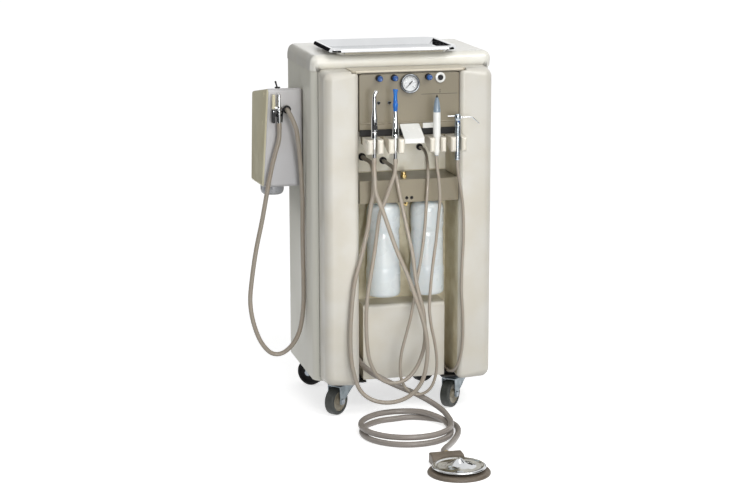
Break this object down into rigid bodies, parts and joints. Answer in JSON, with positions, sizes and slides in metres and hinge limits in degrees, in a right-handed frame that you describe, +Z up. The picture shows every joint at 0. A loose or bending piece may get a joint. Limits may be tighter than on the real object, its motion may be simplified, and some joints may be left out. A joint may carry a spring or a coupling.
{
  "type": "portable dental treatment unit",
  "caption": "Wheeled dental treatment cabinet with hanging handpieces on hoses, a recess with water bottles, a side holster box, a tray and a disc foot control.",
  "frame": {"origin": "on the floor under the middle of the cabinet, midway between its two sides, 200 mm in front of its back", "axes": "+Z up, -Y out of the console face towards the user, +X to the right side seen from the front"},
  "size_m": [0.636, 0.971, 0.974],
  "materials": {
    "cream": "satin",
    "ivory": "satin moulded",
    "taupe": "satin",
    "olive": "satin",
    "dark_steel": "matte",
    "holder_cream": "smooth",
    "bottle": "milky translucent",
    "chrome": "polished",
    "black_plastic": "fine texture",
    "blue": "smooth",
    "white_plastic": "smooth",
    "grey_box": "moulded",
    "steel": "zinc plated",
    "tray_steel": "polished",
    "tyre": "smooth",
    "brass": "turned",
    "hose": "smooth extruded",
    "foot_taupe": "moulded",
    "tank": "gloss",
    "motor": "painted",
    "motor_blue": "hammered"
  },
  "bodies": {
    "cabinet": {"base_pan": "dark_steel", "side_left": "cream", "side_right": "cream", "rear_panel": "cream", "cap": "ivory", "column_left": "ivory", "column_right": "ivory", "control_panel": "taupe", "recess_liner": "olive", "lower_panel": "cream", "holders": "holder_cream", "bottle_shelf": "taupe", "gauge_case": "chrome", "panel_bushings": "black_plastic", "side_box": "grey_box", "holster_clip": "black_plastic", "pedal_base": "foot_taupe", "caster_plates": "steel", "screws": "steel", "hose_fittings": "brass", "power_inlet": "black_plastic", "air_tank": "tank", "compressor": "motor", "suction_motor": "motor_blue", "hose_suction": "hose", "hose_ejector": "hose", "hose_scaler": "hose", "hose_syringe": "hose", "hose_foot": "hose", "hose_side": "hose"},
    "bottle_left": {"bottle_left": "bottle"},
    "bottle_right": {"bottle_right": "bottle"},
    "gauge_needle": {"gauge_needle": "black_plastic"},
    "push_button": {"push_button": "black_plastic"},
    "knob_left": {"knob_left": "blue"},
    "knob_centre": {"knob_centre": "blue"},
    "knob_right": {"knob_right": "blue"},
    "toggle_left": {"toggle_left": "chrome"},
    "toggle_right": {"toggle_right": "chrome"},
    "suction_handpiece": {"suction_handpiece": "chrome"},
    "suction_valve": {"suction_valve": "black_plastic"},
    "ejector_handpiece": {"ejector_handpiece": "chrome"},
    "ejector_valve": {"ejector_valve": "black_plastic"},
    "scaler_handpiece": {"scaler_handpiece": "white_plastic"},
    "syringe_handpiece": {"syringe_handpiece": "chrome"},
    "syringe_air_button": {"syringe_air_button": "blue"},
    "syringe_water_button": {"syringe_water_button": "white_plastic"},
    "side_handpiece": {"side_handpiece": "chrome"},
    "side_handpiece_lever": {"side_handpiece_lever": "black_plastic"},
    "side_box_switch": {"side_box_switch": "black_plastic"},
    "tray": {"tray": "tray_steel"},
    "pedal_disc": {"pedal_disc": "chrome"},
    "caster_fork_fl": {"caster_fork_fl": "steel"},
    "caster_fork_fr": {"caster_fork_fr": "steel"},
    "caster_fork_rl": {"caster_fork_rl": "steel"},
    "caster_fork_rr": {"caster_fork_rr": "steel"},
    "wheel_fl": {"wheel_fl": "tyre"},
    "wheel_fr": {"wheel_fr": "tyre"},
    "wheel_rl": {"wheel_rl": "tyre"},
    "wheel_rr": {"wheel_rr": "tyre"}
  },
  "joints": [
    {"name": "bottle_left_unscrew", "type": "hinge", "parent": "cabinet", "child": "bottle_left", "pos_m": [-0.059, -0.15, 0.59], "axis": [0, 0, -1], "range_deg": [0, 270]},
    {"name": "bottle_right_unscrew", "type": "hinge", "parent": "cabinet", "child": "bottle_right", "pos_m": [0.059, -0.15, 0.59], "axis": [0, 0, -1], "range_deg": [0, 270]},
    {"name": "knob_left_turn", "type": "hinge", "parent": "cabinet", "child": "knob_left", "pos_m": [-0.081, -0.192, 0.9015], "axis": [0, -1, 0], "range_deg": [-135, 135]},
    {"name": "knob_centre_turn", "type": "hinge", "parent": "cabinet", "child": "knob_centre", "pos_m": [-0.041, -0.192, 0.9015], "axis": [0, -1, 0], "range_deg": [-135, 135]},
    {"name": "knob_right_turn", "type": "hinge", "parent": "cabinet", "child": "knob_right", "pos_m": [0.049, -0.192, 0.9015], "axis": [0, -1, 0], "range_deg": [-135, 135]},
    {"name": "gauge_needle_swing", "type": "hinge", "parent": "cabinet", "child": "gauge_needle", "pos_m": [0, -0.199, 0.886], "axis": [0, 1, 0], "range_deg": [0, 270], "stiffness_Nm_per_rad": 0.0005},
    {"name": "push_button_press", "type": "slide", "parent": "cabinet", "child": "push_button", "axis": [0, 1, 0], "range_m": [0, 0.003], "stiffness_N_per_m": 200},
    {"name": "toggle_left_flip", "type": "hinge", "parent": "cabinet", "child": "toggle_left", "pos_m": [-0.082, -0.1946, 0.838], "axis": [1, 0, 0], "range_deg": [0, 24]},
    {"name": "toggle_right_flip", "type": "hinge", "parent": "cabinet", "child": "toggle_right", "pos_m": [-0.0535, -0.1946, 0.838], "axis": [1, 0, 0], "range_deg": [0, 24]},
    {"name": "suction_handpiece_lift_out", "type": "slide", "parent": "cabinet", "child": "suction_handpiece", "axis": [0, -1, 0], "range_m": [0, 0.06]},
    {"name": "ejector_handpiece_lift_out", "type": "slide", "parent": "cabinet", "child": "ejector_handpiece", "axis": [0, -1, 0], "range_m": [0, 0.06]},
    {"name": "scaler_handpiece_lift_out", "type": "slide", "parent": "cabinet", "child": "scaler_handpiece", "axis": [0, -1, 0], "range_m": [0, 0.06]},
    {"name": "syringe_handpiece_lift_out", "type": "slide", "parent": "cabinet", "child": "syringe_handpiece", "axis": [0, -1, 0], "range_m": [0, 0.06]},
    {"name": "suction_valve_turn", "type": "hinge", "parent": "suction_handpiece", "child": "suction_valve", "pos_m": [-0.105, -0.243, 0.784], "axis": [0, 1, 0], "range_deg": [0, 80]},
    {"name": "ejector_valve_turn", "type": "hinge", "parent": "ejector_handpiece", "child": "ejector_valve", "pos_m": [-0.05, -0.243, 0.769], "axis": [0, 1, 0], "range_deg": [0, 80]},
    {"name": "syringe_air_press", "type": "slide", "parent": "syringe_handpiece", "child": "syringe_air_button", "axis": [0, 1, 0], "range_m": [0, 0.0018], "stiffness_N_per_m": 150},
    {"name": "syringe_water_press", "type": "slide", "parent": "syringe_handpiece", "child": "syringe_water_button", "axis": [0, 1, 0], "range_m": [0, 0.0018], "stiffness_N_per_m": 150},
    {"name": "side_handpiece_lift_out", "type": "slide", "parent": "cabinet", "child": "side_handpiece", "axis": [0, -1, 0], "range_m": [0, 0.04]},
    {"name": "side_handpiece_squeeze", "type": "hinge", "parent": "side_handpiece", "child": "side_handpiece_lever", "pos_m": [-0.32, -0.012, 0.8], "axis": [0, -1, 0], "range_deg": [0, 9], "stiffness_Nm_per_rad": 0.05},
    {"name": "side_box_switch_flip", "type": "hinge", "parent": "cabinet", "child": "side_box_switch", "pos_m": [-0.302, 0.022, 0.8554], "axis": [0, 1, 0], "range_deg": [0, 32]},
    {"name": "tray_lift_off", "type": "slide", "parent": "cabinet", "child": "tray", "axis": [0, 0, 1], "range_m": [0, 0.06]},
    {"name": "pedal_press", "type": "slide", "parent": "cabinet", "child": "pedal_disc", "axis": [0, 0, -1], "range_m": [0, 0.0038], "stiffness_N_per_m": 3000, "springref_m": -0.004},
    {"name": "caster_fl_swivel", "type": "hinge", "parent": "cabinet", "child": "caster_fork_fl", "pos_m": [-0.155, -0.099, 0.083], "axis": [0, 0, 1], "continuous": true},
    {"name": "wheel_fl_roll", "type": "hinge", "parent": "caster_fork_fl", "child": "wheel_fl", "pos_m": [-0.18101, -0.12242, 0.0375], "axis": [0.6691, -0.7431, 0], "continuous": true},
    {"name": "caster_fr_swivel", "type": "hinge", "parent": "cabinet", "child": "caster_fork_fr", "pos_m": [0.155, -0.099, 0.083], "axis": [0, 0, 1], "continuous": true},
    {"name": "wheel_fr_roll", "type": "hinge", "parent": "caster_fork_fr", "child": "wheel_fr", "pos_m": [0.13158, -0.12501, 0.0375], "axis": [0.7431, -0.6691, 0], "continuous": true},
    {"name": "caster_rl_swivel", "type": "hinge", "parent": "cabinet", "child": "caster_fork_rl", "pos_m": [-0.158, 0.158, 0.083], "axis": [0, 0, 1], "continuous": true},
    {"name": "wheel_rl_roll", "type": "hinge", "parent": "caster_fork_rl", "child": "wheel_rl", "pos_m": [-0.18481, 0.1805, 0.0375], "axis": [-0.6428, -0.766, 0], "continuous": true},
    {"name": "caster_rr_swivel", "type": "hinge", "parent": "cabinet", "child": "caster_fork_rr", "pos_m": [0.158, 0.158, 0.083], "axis": [0, 0, 1], "continuous": true},
    {"name": "wheel_rr_roll", "type": "hinge", "parent": "caster_fork_rr", "child": "wheel_rr", "pos_m": [0.1271, 0.14157, 0.0375], "axis": [0.4695, -0.8829, 0], "continuous": true}
  ]
}
